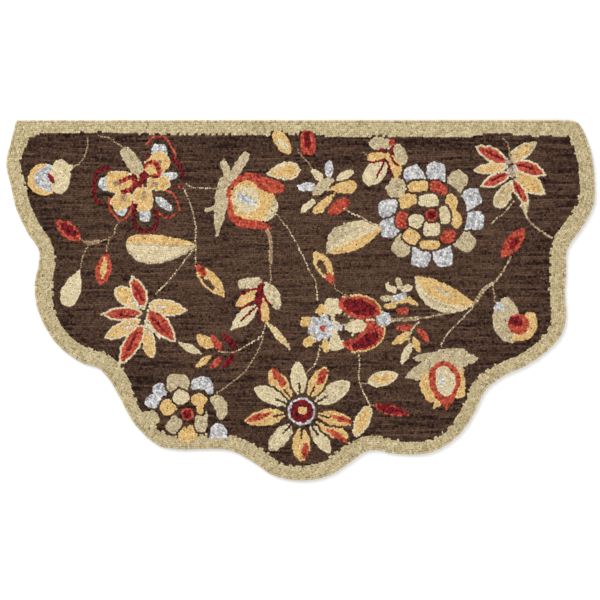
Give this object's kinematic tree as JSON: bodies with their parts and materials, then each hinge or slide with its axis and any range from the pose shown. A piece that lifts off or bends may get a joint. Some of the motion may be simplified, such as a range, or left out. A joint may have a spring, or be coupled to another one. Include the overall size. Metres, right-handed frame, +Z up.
{
  "type": "hooked rug",
  "caption": "Half-round hooked wool hearth rug with a straight hearth edge, a scalloped front, a khaki border and trailing flowers on brown.",
  "frame": {"origin": "centre of the rug's bounding box, on its underside", "axes": "+X along the straight hearth edge, +Y from the scalloped front towards the straight hearth edge, +Z up out of the pile"},
  "size_m": [1.118, 0.684, 0.009],
  "materials": {
    "brown_wool": "matt hooked wool loops, dark heathered brown",
    "khaki_wool": "matt hooked wool loops, khaki of the border",
    "cream_wool": "matt hooked wool loops, cream",
    "gold_wool": "matt hooked wool loops, straw gold",
    "red_wool": "matt hooked wool loops, brick red",
    "burgundy_wool": "matt hooked wool loops, burgundy",
    "grey_wool": "matt hooked wool loops, pale blue grey",
    "sage_wool": "matt hooked wool loops, pale sage",
    "tan_wool": "matt hooked wool loops, tan of the stems",
    "backing_canvas": "plain-woven natural cotton canvas"
  },
  "bodies": {
    "root": {"rug": "brown_wool"}
  },
  "joints": []
}
